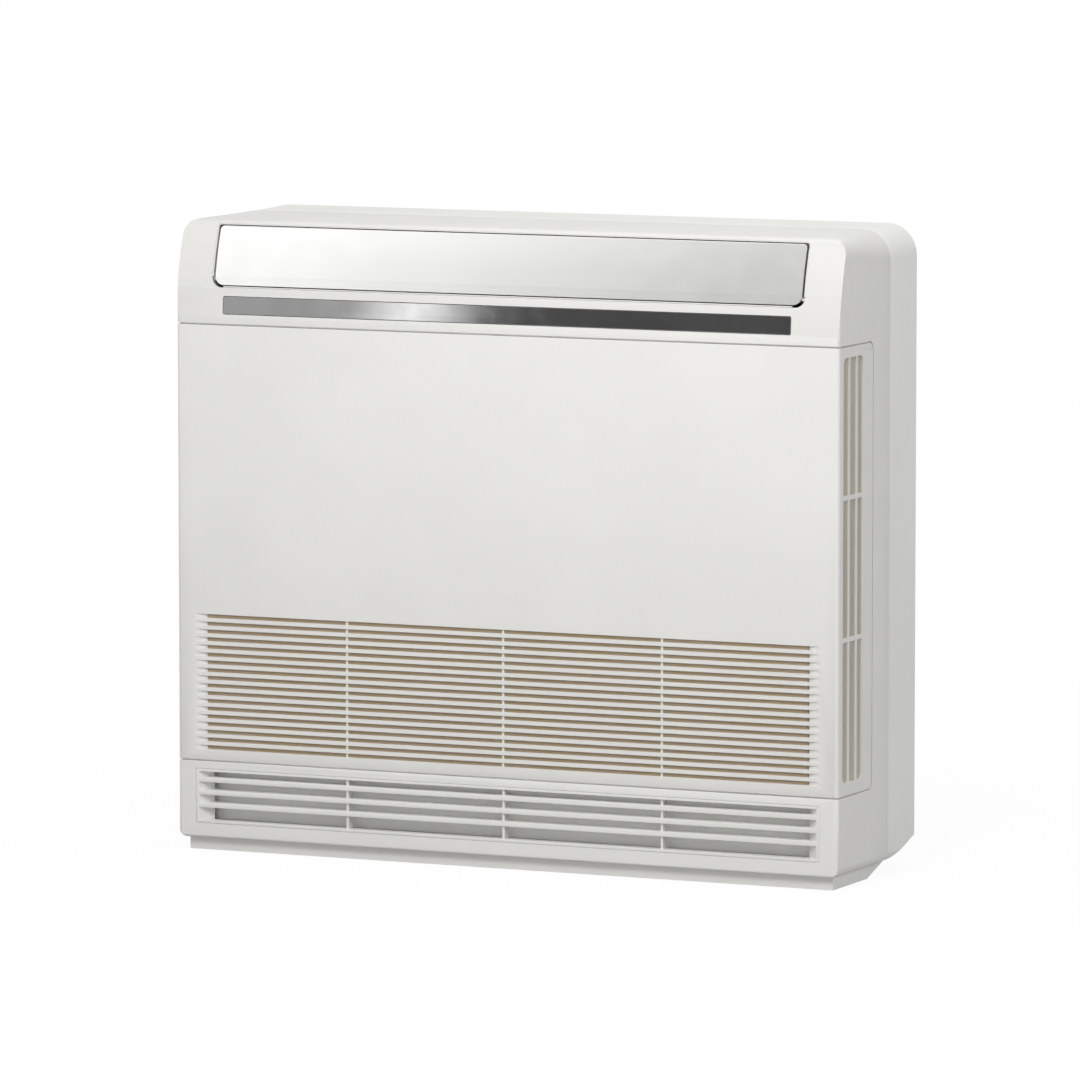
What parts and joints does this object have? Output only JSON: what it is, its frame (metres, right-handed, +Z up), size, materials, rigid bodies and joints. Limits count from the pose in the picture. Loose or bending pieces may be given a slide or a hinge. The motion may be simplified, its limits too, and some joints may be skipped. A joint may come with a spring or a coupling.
{
  "type": "floor standing air conditioner",
  "caption": "Slim floor-standing air conditioner with a tilting top outlet blade, tinted display strip, slotted pull-off front panel with side grilles and a lower outlet grille.",
  "frame": {"origin": "on the floor, under the middle of the body", "axes": "+X to the right seen from the front, +Y back to the wall, +Z up"},
  "size_m": [0.7, 0.192, 0.622],
  "materials": {
    "shell": "fine satin moulded warm white",
    "rear_shell": "fine satin moulded white",
    "blade_plastic": "gloss warm white",
    "window_tint": "dark mirror gloss",
    "duct_plastic": "pale grey moulded",
    "dark_plastic": "dark moulded",
    "fan_plastic": "glass filled grey",
    "fin_metal": "satin fin stock",
    "coil_copper": "drawn copper",
    "steel": "zinc plated sheet",
    "brass_nut": "turned",
    "filter_mesh": "brown woven mesh in a moulded frame",
    "guide_plastic": "taupe moulded",
    "pan_foam": "foamed white",
    "board_green": "lacquered board"
  },
  "bodies": {
    "root": {"front_cabinet": "shell", "rear_cabinet": "rear_shell", "base_plinth": "shell", "lower_grille": "shell", "display_window": "window_tint", "display_board": "board_green", "outlet_duct": "duct_plastic", "lower_duct": "duct_plastic", "fan_casing": "duct_plastic", "fan_motor": "steel", "motor_bracket": "steel", "evaporator_fins": "fin_metal", "evaporator_end_left": "coil_copper", "evaporator_end_right": "coil_copper", "drain_pan": "pan_foam", "liquid_pipe": "coil_copper", "liquid_flare_nut": "brass_nut", "gas_pipe": "coil_copper", "gas_flare_nut": "brass_nut", "filter_guide": "guide_plastic", "control_box": "steel", "control_box_cover": "steel", "control_board": "board_green", "terminal_block": "dark_plastic", "cable_grommet": "dark_plastic", "blade_motor": "steel", "damper_motor": "steel", "vane_motor_left": "steel", "vane_motor_right": "steel", "room_sensor": "dark_plastic", "bracket_screw_1": "steel", "bracket_screw_2": "steel", "bracket_screw_3": "steel", "bracket_screw_4": "steel"},
    "blade": {"top_blade": "blade_plastic"},
    "damper": {"lower_damper": "duct_plastic"},
    "panel": {"front_panel": "shell"},
    "filter_left": {"filter_left": "filter_mesh"},
    "filter_right": {"filter_right": "filter_mesh"},
    "fan": {"turbo_fan": "fan_plastic"},
    "vane_left_1": {"vane_left_1": "duct_plastic"},
    "vane_left_2": {"vane_left_2": "duct_plastic"},
    "vane_left_3": {"vane_left_3": "duct_plastic"},
    "vane_left_4": {"vane_left_4": "duct_plastic"},
    "vane_left_link": {"vane_left_link": "dark_plastic"},
    "vane_right_1": {"vane_right_1": "duct_plastic"},
    "vane_right_2": {"vane_right_2": "duct_plastic"},
    "vane_right_3": {"vane_right_3": "duct_plastic"},
    "vane_right_4": {"vane_right_4": "duct_plastic"},
    "vane_right_link": {"vane_right_link": "dark_plastic"}
  },
  "joints": [
    {"name": "blade_tilt", "type": "hinge", "parent": "root", "child": "blade", "pos_m": [0, -0.086, 0.5605], "axis": [1, 0, 0], "range_deg": [0, 70]},
    {"name": "damper_tilt", "type": "hinge", "parent": "root", "child": "damper", "pos_m": [0, -0.07425, 0.0805], "axis": [1, 0, 0], "range_deg": [0, 80]},
    {"name": "panel_pull", "type": "slide", "parent": "root", "child": "panel", "axis": [0, -1, 0], "range_m": [0, 0.09]},
    {"name": "filter_left_lift", "type": "slide", "parent": "root", "child": "filter_left", "axis": [0, 0, 1], "range_m": [0, 0.022]},
    {"name": "filter_right_lift", "type": "slide", "parent": "root", "child": "filter_right", "axis": [0, 0, 1], "range_m": [0, 0.022]},
    {"name": "fan_spin", "type": "hinge", "parent": "root", "child": "fan", "pos_m": [0, 0, 0.29], "axis": [0, 1, 0], "continuous": true},
    {"name": "vane_left_1_swing", "type": "hinge", "parent": "root", "child": "vane_left_1", "pos_m": [-0.042, -0.05, 0.58], "axis": [0, 0, 1], "range_deg": [-35, 35]},
    {"name": "vane_left_2_swing", "type": "hinge", "parent": "root", "child": "vane_left_2", "pos_m": [-0.118, -0.05, 0.58], "axis": [0, 0, 1], "range_deg": [-35, 35]},
    {"name": "vane_left_3_swing", "type": "hinge", "parent": "root", "child": "vane_left_3", "pos_m": [-0.194, -0.05, 0.58], "axis": [0, 0, 1], "range_deg": [-35, 35]},
    {"name": "vane_left_4_swing", "type": "hinge", "parent": "root", "child": "vane_left_4", "pos_m": [-0.27, -0.05, 0.58], "axis": [0, 0, 1], "range_deg": [-35, 35]},
    {"name": "vane_left_link_pin", "type": "hinge", "parent": "vane_left_1", "child": "vane_left_link", "pos_m": [-0.042, -0.028, 0.5815], "axis": [0, 0, 1], "range_deg": [-35, 35]},
    {"name": "vane_right_1_swing", "type": "hinge", "parent": "root", "child": "vane_right_1", "pos_m": [0.042, -0.05, 0.58], "axis": [0, 0, 1], "range_deg": [-35, 35]},
    {"name": "vane_right_2_swing", "type": "hinge", "parent": "root", "child": "vane_right_2", "pos_m": [0.118, -0.05, 0.58], "axis": [0, 0, 1], "range_deg": [-35, 35]},
    {"name": "vane_right_3_swing", "type": "hinge", "parent": "root", "child": "vane_right_3", "pos_m": [0.194, -0.05, 0.58], "axis": [0, 0, 1], "range_deg": [-35, 35]},
    {"name": "vane_right_4_swing", "type": "hinge", "parent": "root", "child": "vane_right_4", "pos_m": [0.27, -0.05, 0.58], "axis": [0, 0, 1], "range_deg": [-35, 35]},
    {"name": "vane_right_link_pin", "type": "hinge", "parent": "vane_right_1", "child": "vane_right_link", "pos_m": [0.042, -0.028, 0.5815], "axis": [0, 0, 1], "range_deg": [-35, 35]}
  ],
  "couplings": [
    {"joint": "vane_left_2_swing", "follows": "vane_left_1_swing", "ratio": 1},
    {"joint": "vane_left_3_swing", "follows": "vane_left_1_swing", "ratio": 1},
    {"joint": "vane_left_4_swing", "follows": "vane_left_1_swing", "ratio": 1},
    {"joint": "vane_left_link_pin", "follows": "vane_left_1_swing", "ratio": -1},
    {"joint": "vane_right_2_swing", "follows": "vane_right_1_swing", "ratio": 1},
    {"joint": "vane_right_3_swing", "follows": "vane_right_1_swing", "ratio": 1},
    {"joint": "vane_right_4_swing", "follows": "vane_right_1_swing", "ratio": 1},
    {"joint": "vane_right_link_pin", "follows": "vane_right_1_swing", "ratio": -1}
  ]
}
